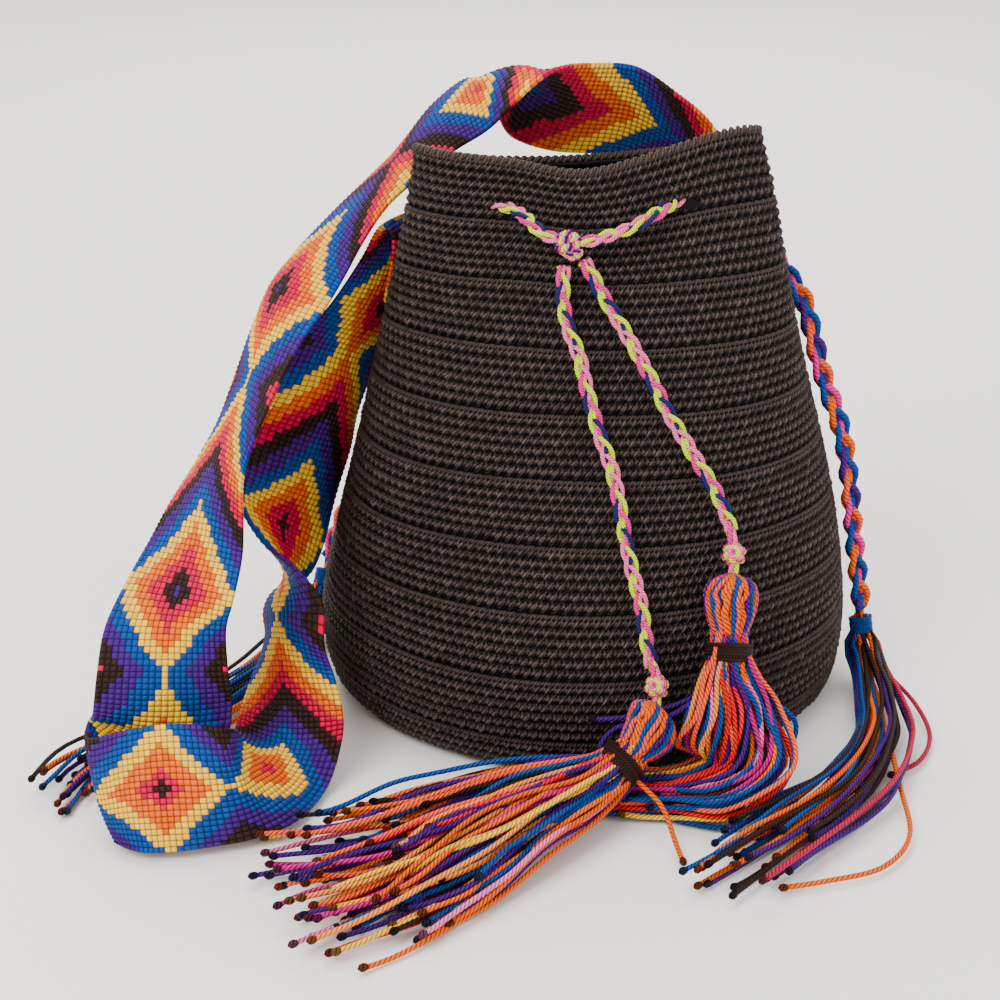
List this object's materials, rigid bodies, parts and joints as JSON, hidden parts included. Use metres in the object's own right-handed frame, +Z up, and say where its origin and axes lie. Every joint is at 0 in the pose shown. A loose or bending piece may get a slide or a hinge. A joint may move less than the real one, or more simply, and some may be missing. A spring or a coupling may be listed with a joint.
{
  "type": "crocheted shoulder bag",
  "caption": "Dark crocheted bucket bag with a knotted zigzag strap folded over its mouth, a braided drawstring and coloured tassels.",
  "frame": {"origin": "centre of the bag's flat underside", "axes": "+Z up out of the mouth, -Y towards the front, where the drawstring is tied, +X to the front's right"},
  "size_m": [0.4048, 0.3901, 0.2989],
  "materials": {
    "crochet_brown": "dark brown crocheted cotton",
    "strap_knots": "knotted cotton in six colours, with a zigzag and diamond pattern",
    "string_pink": "braided pink, yellow and navy cotton",
    "string_braid": "braided pink, yellow and navy cotton",
    "tassel_cords": "twisted cotton cords in mixed colours",
    "binding_brown": "dark brown cotton yarn wound round",
    "binding_blue": "blue cotton yarn wound round"
  },
  "bodies": {
    "root": {"bag_body": "crochet_brown", "strap": "strap_knots", "drawstring_knot": "string_pink", "drawstring_loop": "string_braid", "left_tail": "string_braid", "right_tail": "string_braid", "left_tassel_neck": "string_pink", "right_tassel_neck": "string_pink", "left_tassel_head": "tassel_cords", "right_tassel_head": "tassel_cords", "left_tassel_binding": "binding_brown", "right_tassel_binding": "binding_brown", "left_tassel_skirt": "tassel_cords", "right_tassel_skirt": "tassel_cords", "left_braid": "tassel_cords", "right_braid": "tassel_cords", "left_braid_binding": "binding_blue", "right_braid_binding": "binding_blue", "left_fringe": "tassel_cords", "right_fringe": "tassel_cords"}
  },
  "joints": []
}
